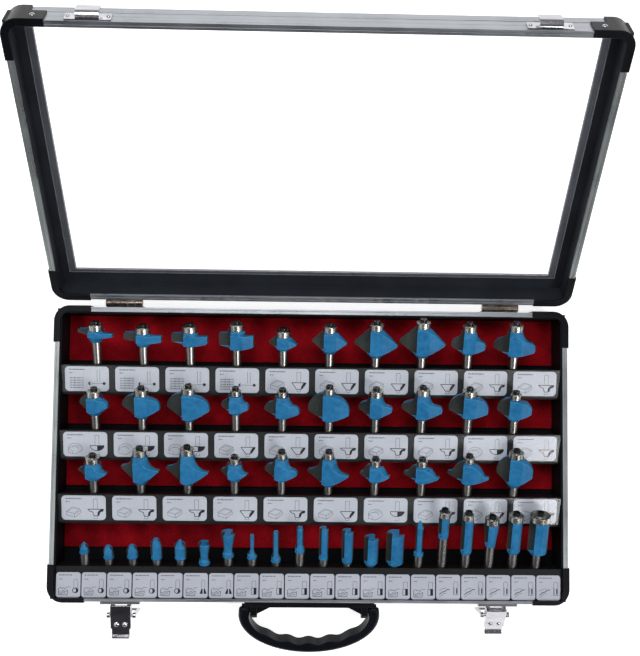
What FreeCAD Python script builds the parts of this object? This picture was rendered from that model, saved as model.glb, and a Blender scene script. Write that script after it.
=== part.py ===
import FreeCAD, Part
import math
import os

# Carrying case for a set of fifty router bits: an aluminium tray with four rails of
# bits, and a shallow lid with a clear window that stands open on two hinges.
# Millimetres. X runs along the case, +Y towards the hinges, +Z up, and Z = 0 is the flat
# underside that the case rests on. The origin is under the middle of the tray.

# ---- driving dimensions of the case -------------------------------------------------
case_width = 450.0
case_depth = 254.0
base_height = 46.0
lid_height = 22.6
lid_open_angle = 135.0
rim_gap = 0.4
skin = 1.5
base_rim_width = 4.2
base_front_rim_width = 2.4
lid_rim_width = 5.0
rim_thickness = 2.0
lining_thickness = 4.0
front_lining_thickness = 1.0
profile_groove_width = 1.0
profile_groove_depth = 0.4
base_groove_height = 36.0
lid_groove_drop = 8.4
bottom_flange = 9.0
window_flange = 9.0

# ---- corner caps --------------------------------------------------------------------
cap_leg = 31.0
cap_proud = 1.2
cap_radius = 13.6
cap_edge_round = 0.9
cap_lap = 15.0
cap_plate = 1.2
lid_cap_short_leg = 19.0
lid_cap_tab_height = 14.0
rivet_radius = 2.2
rivet_height = 1.0
rivet_inset = 22.0
rivet_edge_distance = 12.4

# ---- lid window ---------------------------------------------------------------------
frame_side_edge = 11.6
frame_front_edge = 13.0
frame_rear_edge = 15.8
trim_side_edge = 17.9
trim_rear_edge = 19.8
frame_depth = 1.4
pane_thickness = 1.5
pane_edge = 3.0

# ---- tray insert --------------------------------------------------------------------
bottom_thickness = 4.0
board_thickness = 6.5
felt_thickness = 2.0
felt_margin = 4.5
front_felt_margin = 12.0
fit_gap = 0.3
rail_depth = 26.0
front_rail_depth = 26.7
rail_drop = 3.0
label_slope = 12.0
rear_well = 45.0
second_well = 31.0
third_well = 29.0
front_well = 36.0

# ---- label cards and their clear covers ---------------------------------------------
card_thickness = 0.4
card_length = 22.0
card_corner = 3.4
card_margin = 1.6
card_gap = 5.6
narrow_card_corner = 2.4
narrow_card_length = 21.4
narrow_card_gap = 1.0
cover_thickness = 0.8
cover_length = 24.0
cover_gap = 0.2

# ---- router bits --------------------------------------------------------------------
wide_bits = 10
narrow_bits = 20
bit_angle = 22.0
shank_radius = 4.0
shank_depth = 20.0
hole_clearance = 0.05
hole_drop = 5.5
wide_left_margin = 30.3
wide_right_margin = 40.9
narrow_left_margin = 23.95
narrow_right_margin = 21.15
body_half_thickness = 7.5
wing_end_thickness = 4.0
wing_flat = 2.0
carbide_thickness = 1.8
carbide_proud = 0.6
carbide_proud_share = 0.12
core_half_width = 4.4
core_share = 0.36
gullet_foot = 1.2
seat_foot = 3.0
seat_foot_share = 0.3
neck_radius = 6.6
collar_step = 0.9
collar_flare = 0.3
collar_rise = 0.8
heel_round = 0.9
head_land = 1.0
hub_flare = 0.6
small_bearing = 4.75
plain_bearing = 6.35
wide_bearing = 8.8
bearing_bore = 2.5
bearing_width = 5.0
bearing_groove = 0.5
bearing_lip_share = 0.32
bearing_gap = 0.1
pilot_radius = 2.45
screw_head_radius = 3.0
screw_head_height = 2.8
screw_socket = 2.6
screw_socket_depth = 1.6
screw_radius = 1.5
screw_length = 4.0
thread_clearance = 0.1

# ---- hinges -------------------------------------------------------------------------
hinge_inset = 60.0
hinge_width = 32.0
hinge_leaf_thickness = 1.2
hinge_leaf_height = 13.0
hinge_offset = 3.6
knuckle_radius = 3.0
knuckle_count = 5
knuckle_gap = 0.3
knuckle_relief = 0.4
knuckle_tail = 1.0
hinge_pin_radius = 1.25
pin_clearance = 0.05
hinge_rivet_spacing = 20.0
hinge_rivet_drop = 8.2

# ---- draw latches -------------------------------------------------------------------
latch_inset = 61.5
latch_plate_width = 34.0
latch_plate_height = 24.5
latch_plate_top = 1.5
latch_plate_thickness = 2.5
latch_pivot_drop = 10.0
latch_pivot_reach = 6.5
latch_rivet_spacing = 29.6
latch_rivet_drop = 5.0
ear_half_width = 6.9
ear_thickness = 1.5
ear_radius = 2.6
lever_half_width = 8.75
lever_sheet = 1.5
lever_length = 26.0
lever_depth = 3.8
lever_head = 3.0
lever_cheek_reach = 2.4
lever_lip = 2.2
lever_waist = 1.1
lever_waist_length = 8.0
lever_rivet_spacing = 7.2
lever_rivet_drop = 14.0
loop_pivot_distance = 8.0
loop_half_width = 12.6
loop_arm_width = 2.8
loop_length = 26.0
loop_thickness = 1.8
loop_bar = 3.6
loop_eye_wall = 1.3
latch_pin_radius = 1.2
left_lever_angle = 76.0
right_lever_angle = 50.0
keeper_width = 33.0
keeper_height = 10.0
keeper_thickness = 1.2
keeper_rivet_spacing = 28.6
keeper_rivet_radius = 1.5
keeper_hook_width = 17.0
keeper_hook_radius = 5.0
keeper_tongue = 7.0
keeper_lift = 0.8

# ---- handle -------------------------------------------------------------------------
handle_width = 125.0
handle_length = 43.4
handle_middle_reach = 4.5
handle_bar = 10.4
handle_end_bar = 9.4
handle_round = 3.6
handle_pivot_reach = 11.0
handle_pivot_height = 23.0
handle_rest_angle = 23.5
handle_eye_inset = 3.0
handle_stub_radius = 3.0
handle_stub_end = 0.5
handle_finger_pitch = 18.5
handle_finger_rise = 1.3
handle_plate_inset = 6.0
handle_plate_height = 34.0
handle_plate_thickness = 5.5
handle_rivet_spacing = 69.2
handle_rivet_rise = 11.0
handle_lug_thickness = 6.0
handle_lug_radius = 7.0
handle_lug_gap = 0.5
gusset_length = 17.0
gusset_height = 8.0
gusset_reach = 3.0

# ---- values worked out from them ----------------------------------------------------
half_width = case_width / 2
front = -case_depth / 2
rear = case_depth / 2
board_bottom = bottom_thickness + skin
board_top = board_bottom + board_thickness
felt_top = board_top + felt_thickness
rail_top = base_height - rail_drop
lining_face = skin + lining_thickness
front_rail_face = front + skin + front_lining_thickness + fit_gap
rail_half_length = half_width - lining_face - fit_gap
lid_rim = base_height + rim_gap
lid_top = lid_rim + lid_height
pane_top = lid_top - skin
pane_bottom = pane_top - pane_thickness
frame_bottom = pane_bottom - frame_depth
hinge_y = rear + hinge_offset
hinge_z = base_height + rim_gap / 2
hole_height = rail_top - hole_drop

V = FreeCAD.Vector
ORIGIN = V(0, 0, 0)
AXIS_X = V(1, 0, 0)
AXIS_Y = V(0, 1, 0)
AXIS_Z = V(0, 0, 1)
BEYOND = 1.0

os.makedirs("parts", exist_ok=True)


def save(name, solids):
    """Write one node: a single solid, or a group of like solids."""
    shape = solids[0] if len(solids) == 1 else Part.makeCompound(solids)
    shape.exportStep("parts/" + name + ".step")


def box(x0, x1, y0, y1, z0, z1):
    return Part.makeBox(x1 - x0, y1 - y0, z1 - z0, V(x0, y0, z0))


def moved(shape, offset):
    copy = shape.copy()
    copy.translate(offset)
    return copy


def turned(shape, centre, axis, angle):
    copy = shape.copy()
    copy.rotate(centre, axis, angle)
    return copy


def opened(shape):
    """Swing a lid piece from its closed place to the place where it stands open."""
    return turned(shape, V(0, hinge_y, hinge_z), AXIS_X, -lid_open_angle)


def prism(points, x0, x1):
    """A straight length along X with the given outline in Y and Z."""
    corners = [V(x0, y, z) for y, z in points]
    face = Part.Face(Part.makePolygon(corners + corners[:1]))
    return face.extrude(V(x1 - x0, 0, 0))


def round_the_case(long_piece, short_piece):
    """Front, rear, right and left pieces, from two drawn along X with inwards as +Y."""
    front_piece = moved(long_piece, V(0, front, 0))
    right_piece = moved(turned(short_piece, ORIGIN, AXIS_Z, 90), V(half_width, 0, 0))
    return [front_piece, turned(front_piece, ORIGIN, AXIS_Z, 180),
            right_piece, turned(right_piece, ORIGIN, AXIS_Z, 180)]


# ---- aluminium profiles ---------------------------------------------------------------

def profile(half_length, height, rim_width, flange, flange_height, groove_height):
    """One profile along X: a skin, a rim along its top edge and a flange near its foot.

    The outer face is at Y = 0 and the foot at Z = 0. The skin stops short of the corner,
    and the rim stops where the corner cap's own rim takes over.
    """
    end = half_length - cap_lap
    rim_end = half_length - cap_leg
    skin_plate = box(-end, end, 0, skin, 0, height)
    flange_plate = box(-end, end, 0, flange, flange_height, flange_height + skin)
    rim = box(-rim_end, rim_end, 0, rim_width, height - rim_thickness, height)
    over_cap_rim = [box(min(side * rim_end, side * half_length), max(side * rim_end, side * half_length),
                        -BEYOND, rim_width + BEYOND, height - rim_thickness, height + BEYOND)
                    for side in (-1, 1)]
    side_groove = box(-half_length, half_length, -BEYOND, profile_groove_depth,
                      groove_height - profile_groove_width / 2, groove_height + profile_groove_width / 2)
    rim_groove = box(-half_length, half_length, (rim_width - profile_groove_width) / 2,
                     (rim_width + profile_groove_width) / 2, height - profile_groove_depth, height + BEYOND)
    cuts = Part.makeCompound(over_cap_rim + [side_groove, rim_groove])
    return skin_plate.multiFuse([flange_plate, rim]).cut(cuts).removeSplitter()


def base_profile(half_length, rim_width):
    return profile(half_length, base_height, rim_width, bottom_flange, bottom_thickness, base_groove_height)


side_names = ("front", "rear", "right", "left")
base_profiles = round_the_case(base_profile(half_width, base_rim_width), base_profile(rear, base_rim_width))
base_profiles[0] = moved(base_profile(half_width, base_front_rim_width), V(0, front, 0))
for side_name, solid in zip(side_names, base_profiles):
    save("base_" + side_name + "_profile", [solid])

lid_profiles = round_the_case(
    *[moved(turned(profile(half, lid_height, lid_rim_width, window_flange, 0, lid_groove_drop),
                   ORIGIN, AXIS_Y, 180), V(0, 0, lid_top))
      for half in (half_width, rear)])
for side_name, solid in zip(side_names, lid_profiles):
    save("lid_" + side_name + "_profile", [opened(solid)])


# ---- linings: black strips inside the walls -------------------------------------------

def mitred_strip(half_length, outer, inner, z0, z1):
    """A strip along X between two distances in from the outer face, with mitred ends."""
    corners = [V(-half_length + outer, outer, z0), V(half_length - outer, outer, z0),
               V(half_length - inner, inner, z0), V(-half_length + inner, inner, z0)]
    return Part.Face(Part.makePolygon(corners + corners[:1])).extrude(V(0, 0, z1 - z0))


def wall_strips(outer, inner, z0, z1):
    return round_the_case(mitred_strip(half_width, outer, inner, z0, z1),
                          mitred_strip(rear, outer, inner, z0, z1))


# The front strip is thinner above the board, where the front rail stands against it.
front_rail_space = box(-rail_half_length - fit_gap, rail_half_length + fit_gap, front_rail_face - fit_gap, 0,
                       board_top, base_height)
base_lining = wall_strips(skin, lining_face, board_bottom, base_height - rim_thickness)
base_lining[0] = base_lining[0].cut(front_rail_space)
save("base_lining", base_lining)

lid_lining = wall_strips(skin, lid_rim_width, lid_rim + rim_thickness, frame_bottom)
save("lid_lining", [opened(strip) for strip in lid_lining])


# ---- corner caps ----------------------------------------------------------------------

def corner_box(inset_from, inset_to, z0, z1, corner_radius):
    """A square over the corner at +X +Y, between two distances in from the outer faces."""
    square = box(half_width - inset_from, half_width - inset_to, rear - inset_from, rear - inset_to,
                 min(z0, z1), max(z0, z1))
    if corner_radius == 0:
        return square
    corner = [edge for edge in square.Edges
              if edge.BoundBox.XMin > half_width - inset_to - fit_gap
              and edge.BoundBox.YMin > rear - inset_to - fit_gap]
    return square.makeFillet(corner_radius, corner)


def is_outer_edge(edge, z):
    """Whether an edge runs round the cap's outer faces at the height z."""
    bounds = edge.BoundBox
    level = abs(bounds.ZMin - z) < fit_gap and abs(bounds.ZMax - z) < fit_gap
    past_ends = bounds.XMax > half_width - cap_leg + fit_gap and bounds.YMax > rear - cap_leg + fit_gap
    return level and past_ends and (bounds.XMax > half_width or bounds.YMax > rear)


def cap_blank(z_rim, z_foot, rim_width):
    """A rounded cap over the corner at +X +Y: a rim, two walls and a plate at the foot."""
    up = 1 if z_rim > z_foot else -1
    outer = corner_box(cap_leg, -cap_proud, z_foot, z_rim, cap_radius)
    outer = outer.makeFillet(cap_edge_round, [edge for edge in outer.Edges if is_outer_edge(edge, z_foot)])
    rim_radius = cap_radius - cap_proud - rim_width
    under_rim = z_rim - up * rim_thickness
    rim_hole = corner_box(cap_leg + BEYOND, rim_width, z_rim + up * BEYOND, under_rim, rim_radius)
    wall_hole = corner_box(cap_leg + BEYOND, skin, under_rim, z_foot + up * cap_plate, 0)
    return outer.cut(Part.makeCompound([rim_hole, wall_hole]))


def four_corners(shape):
    """The cap and its mirror images at the other corners."""
    left = shape.mirror(ORIGIN, AXIS_X)
    return [shape, left, shape.mirror(ORIGIN, AXIS_Y), left.mirror(ORIGIN, AXIS_Y)]


def fitted_caps(blank, cuts):
    """Four caps cut round what they cover, each as one solid."""
    tool = Part.makeCompound(cuts)
    return [max(cap.cut(tool).Solids, key=lambda solid: solid.Volume) for cap in four_corners(blank)]


foot_clear_x = box(half_width - cap_leg - BEYOND, half_width - cap_lap, rear - cap_leg - BEYOND, rear,
                   0, cap_plate)
foot_clear_y = box(half_width - cap_leg - BEYOND, half_width, rear - cap_leg - BEYOND, rear - cap_lap,
                   0, cap_plate)
base_cap = cap_blank(base_height, 0, base_rim_width)
base_cap = base_cap.cut(Part.makeCompound([foot_clear_x, foot_clear_y]))
save("base_corner_caps", fitted_caps(base_cap, base_profiles + [front_rail_space]))

lid_cap_foot = lid_top + cap_plate
window_radius = cap_radius - cap_proud - window_flange
window_hole = corner_box(cap_leg + BEYOND, window_flange, lid_top, lid_cap_foot, window_radius)
lid_cap = cap_blank(lid_rim, lid_cap_foot, lid_rim_width).cut(window_hole)
# Away from the corner the lid's caps cover only the lower part of the walls, in two tabs.
past_tabs_x = box(half_width - cap_leg - BEYOND, half_width - lid_cap_short_leg, 0, rear + cap_leg,
                  lid_rim + lid_cap_tab_height, lid_cap_foot + BEYOND)
past_tabs_y = box(0, half_width + cap_leg, rear - cap_leg - BEYOND, rear - lid_cap_short_leg,
                  lid_rim + lid_cap_tab_height, lid_cap_foot + BEYOND)
lid_cap = lid_cap.cut(Part.makeCompound([past_tabs_x, past_tabs_y]))
save("lid_corner_caps", [opened(cap) for cap in fitted_caps(lid_cap, lid_profiles)])


def rivet(x, y, z, outward, radius=rivet_radius):
    """A domed rivet head on an outer face."""
    dome_radius = (radius ** 2 + rivet_height ** 2) / (2 * rivet_height)
    ball = Part.makeSphere(dome_radius, V(0, 0, rivet_height - dome_radius))
    dome = ball.common(box(-dome_radius, dome_radius, -dome_radius, dome_radius, 0, rivet_height))
    stood = turned(dome, ORIGIN, outward.cross(AXIS_Z) * -1, 90)
    return moved(stood, V(x, y, z))


def cap_rivets(heights):
    rivets = []
    for z in heights:
        for side in (-1, 1):
            for end in (-1, 1):
                x_face = side * (half_width + cap_proud)
                y_face = end * (rear + cap_proud)
                rivets.append(rivet(x_face, end * (rear - rivet_inset), z, V(side, 0, 0)))
                rivets.append(rivet(side * (half_width - rivet_inset), y_face, z, V(0, end, 0)))
    return rivets


base_rivets = cap_rivets((rivet_edge_distance, base_height - rivet_edge_distance))
lid_rivets = cap_rivets((lid_rim + lid_cap_tab_height / 2,))


# ---- bottom panel, insert board and felt ----------------------------------------------

def inside_walls(inset, z0, z1):
    return box(-half_width + inset, half_width - inset, front + inset, rear - inset, z0, z1)


notches = four_corners(corner_box(cap_lap, 0, 0, bottom_thickness, 0))
save("bottom_panel", [inside_walls(skin, 0, bottom_thickness).cut(Part.makeCompound(notches))])
save("insert_board", [inside_walls(lining_face, board_bottom, board_top)])

# The wells for the heads share whatever depth the walls and the rails leave.
well_depths = [rear_well, second_well, third_well, front_well]
free_depth = rear - lining_face - front_rail_face - 3 * rail_depth - front_rail_depth
well_scale = free_depth / sum(well_depths)
rail_rears = []
rail_fronts = []
felt_rears = []
well_rear = rear - lining_face
for well, depth in zip(well_depths, (rail_depth, rail_depth, rail_depth, front_rail_depth)):
    rail_rears.append(well_rear - well * well_scale)
    rail_fronts.append(rail_rears[-1] - depth)
    felt_rears.append(well_rear - fit_gap)
    well_rear = rail_fronts[-1]

felt_margins = (felt_margin, felt_margin, felt_margin, front_felt_margin)
felt_strips = [box(-rail_half_length, rail_half_length, rail_rear + margin, felt_rear, board_top, felt_top)
               for rail_rear, margin, felt_rear in zip(rail_rears, felt_margins, felt_rears)]
save("felt_strips", felt_strips)


# ---- rails, cards and covers ----------------------------------------------------------

def spread(first, last, count):
    """Evenly spaced places from the first to the last."""
    return [first + (last - first) * index / (count - 1) for index in range(count)]


wide_holes = spread(wide_left_margin - rail_half_length, rail_half_length - wide_right_margin, wide_bits)
narrow_holes = spread(narrow_left_margin - rail_half_length, rail_half_length - narrow_right_margin,
                      narrow_bits)
hole_rows = [wide_holes, wide_holes, wide_holes, narrow_holes]


def to_rail(shape, x, row):
    """Carry a shape drawn along +Z to its hole in a rail, leaning back at the bit angle."""
    leaned = turned(shape, ORIGIN, AXIS_X, bit_angle - 90)
    return moved(leaned, V(x, rail_rears[row], hole_height))


slope_drop = rail_depth * math.tan(math.radians(label_slope))
bore = Part.makeCylinder(shank_radius + hole_clearance, 2 * shank_depth, V(0, 0, -shank_depth - fit_gap))
front_drops = (slope_drop, slope_drop, slope_drop, 0)
for row, drop in enumerate(front_drops):
    y_rear = rail_rears[row]
    y_front = rail_fronts[row]
    outline = [(y_rear, board_top), (y_rear, rail_top), (y_front, rail_top - drop), (y_front, board_top)]
    rail = prism(outline, -rail_half_length, rail_half_length)
    bores = [to_rail(bore, x, row) for x in hole_rows[row]]
    save("bit_rail_" + str(row + 1), [rail.cut(Part.makeCompound(bores))])


def rounded_card(width, length, corner):
    plate = box(-width / 2, width / 2, -length, 0, 0, card_thickness)
    uprights = [edge for edge in plate.Edges if edge.BoundBox.ZLength > card_thickness / 2]
    return plate.makeFillet(corner, uprights)


def on_rail(shape, x, row, lift):
    """Lay a flat piece on a sloping rail, its rear edge a margin in front of the rail's."""
    raised = moved(shape, V(0, -card_margin, lift))
    leaned = turned(raised, ORIGIN, AXIS_X, label_slope)
    return moved(leaned, V(x, rail_rears[row], rail_top))


def card_places(count):
    """Middles of cards that fill a rail from end to end."""
    pitch = 2 * rail_half_length / count
    return spread(pitch / 2 - rail_half_length, rail_half_length - pitch / 2, count)


wide_card = rounded_card(2 * rail_half_length / wide_bits - card_gap, card_length, card_corner)
wide_cards = [on_rail(wide_card, x, row, 0) for row in range(3) for x in card_places(wide_bits)]
save("wide_label_cards", wide_cards)

narrow_card = rounded_card(2 * rail_half_length / narrow_bits - narrow_card_gap, narrow_card_length,
                           narrow_card_corner)
narrow_card_rear = rail_fronts[3] + narrow_card_length
save("narrow_label_cards", [moved(narrow_card, V(x, narrow_card_rear, rail_top))
                            for x in card_places(narrow_bits)])

cover_rear = card_margin - fit_gap
cover = box(-rail_half_length, rail_half_length, cover_rear - cover_length, cover_rear, 0, cover_thickness)
save("label_covers", [on_rail(cover, 0, row, card_thickness + cover_gap) for row in range(3)])


# ---- router bits ----------------------------------------------------------------------
# A head is drawn along +Z from its shank end at Z = 0. Its outline is a list of corners
# (radius, height); a corner with three more values ends an arc that passes through the
# point (third, fourth).

def outline_edges(corners):
    edges = []
    last = V(0, 0, 0)
    for corner in corners:
        point = V(corner[0], 0, corner[1])
        if len(corner) == 4:
            edges.append(Part.Arc(last, V(corner[2], 0, corner[3]), point).toShape())
        else:
            edges.append(Part.makeLine(last, point))
        last = point
    edges.append(Part.makeLine(last, V(0, 0, last.z)))
    edges.append(Part.makeLine(V(0, 0, last.z), V(0, 0, 0)))
    return edges


def spun(corners):
    face = Part.Face(Part.Wire(outline_edges(corners)))
    return face.revolve(V(0, 0, 0), AXIS_Z, 360)


def shoulder(radius, rise):
    """The underside of a head: a short collar that flares out to the full radius."""
    collar = shank_radius + collar_step
    return [(collar, 0), (collar + collar_flare, collar_rise), (radius - heel_round, rise),
            (radius, rise + heel_round)]


def slotting(radius, height, blade):
    """A thin disc of teeth at the top of a slim hub."""
    low = height - blade - head_land
    return [(shank_radius + collar_step, 0), (neck_radius, low - 3 * head_land),
            (neck_radius + hub_flare, low - head_land), (radius - 3 * heel_round, low),
            (radius, low + head_land / 2), (radius, height - head_land),
            (neck_radius + head_land, height - head_land), (neck_radius, height)]


def rabbeting(radius, height, hub):
    """A square shoulder with a raised hub under the bearing."""
    top = height - hub
    return shoulder(radius, 3 * head_land) + [
        (radius, top), (neck_radius + 2 * hub_flare, top),
        (neck_radius + 2 * hub_flare, height - hub_flare), (neck_radius, height)]


def chamfering(radius, height):
    """A short upright side under a cone at forty-five degrees."""
    cone_foot = neck_radius + hub_flare
    side = height - (radius - cone_foot)
    return shoulder(radius, side - 2 * head_land) + [(radius, side), (cone_foot, height)]


def coving(radius, height, sweep):
    """Convex quarter round, which cuts a hollow."""
    low = height - sweep - head_land
    bulge = sweep * math.sqrt(0.5)
    return shoulder(radius, low - 2 * head_land) + [
        (radius, low), (radius - sweep, low + sweep, radius - sweep + bulge, low + bulge),
        (neck_radius, height)]


def rounding(radius, height, sweep):
    """Hollow quarter round, which cuts a rounded edge."""
    low = height - sweep - 2 * head_land
    bulge = sweep * (1 - math.sqrt(0.5))
    return shoulder(radius, low - 2 * head_land) + [
        (radius, low), (radius - sweep, low + sweep, radius - sweep + bulge, low + bulge),
        (neck_radius, height)]


def ogee(radius, height, low):
    """Convex below and hollow above, in one S."""
    rise = height - low
    run = radius - neck_radius
    return shoulder(radius, low - 2 * head_land) + [
        (radius, low), (radius - 0.5 * run, low + 0.46 * rise, radius - 0.13 * run, low + 0.33 * rise),
        (neck_radius, height, neck_radius + 0.13 * run, low + 0.7 * rise)]


def stepped(radius, height, low):
    """A rounded shoulder under a tall neck."""
    rise = height - low
    run = radius - neck_radius
    return shoulder(radius, low - 2 * head_land) + [
        (radius, low), (radius - 0.3 * run, low + 0.34 * rise, radius - 0.08 * run, low + 0.24 * rise),
        (neck_radius + 0.25 * run, low + 0.46 * rise),
        (neck_radius, height, neck_radius + 0.06 * run, low + 0.7 * rise)]


def doming(radius, height, low):
    """A full convex bell."""
    run = radius - neck_radius
    rise = height - low
    return shoulder(radius, low - 2 * head_land) + [
        (radius, low), (neck_radius, height, radius - 0.2 * run, low + 0.62 * rise)]


def sloping(radius, height, low):
    """A square foot, a step, and a steep slope up to the neck."""
    run = radius - neck_radius
    rise = height - low
    return shoulder(radius, low - 2 * head_land) + [
        (radius, low), (radius - 0.3 * run, low + head_land / 2),
        (neck_radius + 0.35 * run, height - 0.3 * rise), (neck_radius, height)]


def thin_straight(radius, height):
    """A narrow upright cutter that steps down from the shank."""
    stub = shank_radius + hub_flare
    return [(stub, 0), (stub, 3 * head_land), (radius + collar_flare, 7 * head_land),
            (radius, 8 * head_land), (radius, height)]


def straight(radius, height):
    """An upright cutter as wide as the shank or wider."""
    return [(shank_radius + collar_flare, 0), (radius, 3 * head_land), (radius, height)]


def trimming(radius, height):
    """An upright cutter with a bearing at its tip."""
    return [(shank_radius + collar_flare, 0), (radius, 3 * head_land), (radius, height - head_land),
            (min(radius, small_bearing), height)]


def tapering(radius, height):
    """A cutter that widens all the way up to its bearing."""
    return [(shank_radius + collar_flare, 0), (radius, height - 4 * head_land),
            (radius, height - head_land), (small_bearing, height)]


def dovetailing(radius, height, waist):
    """A slim waist that flares out to a flat end."""
    collar = shank_radius + collar_step
    return [(collar, 0), (collar, 4 * head_land), (waist, 5 * head_land), (waist, 9 * head_land),
            (radius, height)]


def v_point(radius, height):
    """An upright side that closes in a cone."""
    return [(shank_radius + collar_flare, 0), (radius, 2 * head_land), (radius, height - radius),
            (collar_flare, height)]


def round_nose(radius, height):
    """A bullet: an upright side that closes in a round end."""
    waist = height - 1.5 * radius
    return [(shank_radius + collar_flare, 0), (radius, 2 * head_land), (radius, waist),
            (collar_flare, height, 0.75 * radius, waist + 0.9 * radius)]


def pilot_point(radius, height):
    """A panel cutter: a drill point over a slim upright side."""
    stub = shank_radius + hub_flare
    slim = radius - hub_flare
    return [(stub, 0), (stub, 2 * head_land), (slim, 3 * head_land), (slim, height - 8 * head_land),
            (radius, height - 7 * head_land), (radius, height - 6 * head_land), (collar_flare, height)]


def widest(corners):
    return max(corner[0] for corner in corners)


def pair_of_cuts(radius, core, y_near, y_far, low, top):
    """Two boxes outside the core, half a turn apart."""
    reach = radius + BEYOND
    right = box(core, reach, y_near, y_far, low, top + BEYOND)
    return [right, turned(right, ORIGIN, AXIS_Z, 180)]


def wing_reliefs(radius, core, half, top):
    """Two wedges that thin each wing's back from near the core to its end."""
    reach = radius + BEYOND
    wedge = [V(core + wing_flat, -half, -BEYOND), V(reach, -wing_end_thickness, -BEYOND),
             V(reach, -half - BEYOND, -BEYOND), V(core + wing_flat, -half - BEYOND, -BEYOND)]
    right = Part.Face(Part.makePolygon(wedge + wedge[:1])).extrude(V(0, 0, top + 2 * BEYOND))
    return [right, turned(right, ORIGIN, AXIS_Z, 180)]


def build_head(corners, core, seat_low, has_bearing):
    """Return the steel body, with two gullets cut in it, and its two carbide tips."""
    full = spun(corners)
    radius = widest(corners)
    top = corners[-1][1]
    seats = pair_of_cuts(radius, core, -carbide_thickness, 0, seat_low, top)
    gullets = pair_of_cuts(radius, core, 0, radius + BEYOND, gullet_foot, top)
    tips = [full.common(seat) for seat in seats]
    half = min(body_half_thickness, radius)
    side = radius - min(carbide_proud, carbide_proud_share * radius)
    body = full.common(box(-side, side, -half, half, -BEYOND, top + BEYOND))
    reliefs = wing_reliefs(radius, core, half, top) if radius > 2 * wing_end_thickness + wing_flat else []
    body = body.cut(Part.makeCompound(seats + gullets + reliefs))
    if has_bearing:
        pilot_top = bearing_width + 2 * bearing_gap
        pilot = Part.makeCylinder(pilot_radius, pilot_top, V(0, 0, top))
        thread_length = screw_length + 4 * thread_clearance
        thread = Part.makeCylinder(screw_radius + thread_clearance, thread_length,
                                   V(0, 0, top + pilot_top - thread_length))
        body = body.fuse(pilot).cut(thread)
    return max(body.Solids, key=lambda solid: solid.Volume), [tip.Solids[0] for tip in tips]


def build_bearing(radius):
    """A ring with a shallow groove in each face, between its inner and outer race."""
    middle = (radius + bearing_bore) / 2
    lip = bearing_lip_share * (radius - middle)
    ring = Part.makeCylinder(radius, bearing_width).cut(Part.makeCylinder(bearing_bore, bearing_width))
    groove = Part.makeCylinder(middle + lip, bearing_groove)
    groove = groove.cut(Part.makeCylinder(middle - lip, bearing_groove))
    return ring.cut(Part.makeCompound([groove, moved(groove, V(0, 0, bearing_width - bearing_groove))]))


def build_screw():
    """A cap screw with a hexagon socket, its underside at Z = 0."""
    head = Part.makeCylinder(screw_head_radius, screw_head_height)
    corner_radius = screw_socket / math.sqrt(3)
    corners = [V(corner_radius * math.cos(math.radians(60 * step)),
                 corner_radius * math.sin(math.radians(60 * step)),
                 screw_head_height - screw_socket_depth) for step in range(6)]
    socket = Part.Face(Part.makePolygon(corners + corners[:1])).extrude(V(0, 0, screw_head_height))
    stem = Part.makeCylinder(screw_radius, screw_length, V(0, 0, -screw_length))
    return head.cut(socket).fuse(stem)


def bit(corners, exposed, roll, bearing=0.0):
    """One bit: its outline, the length of bare shank, its turn in the hole, its bearing."""
    return {"corners": corners, "exposed": exposed, "roll": roll, "bearing": bearing}


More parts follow.
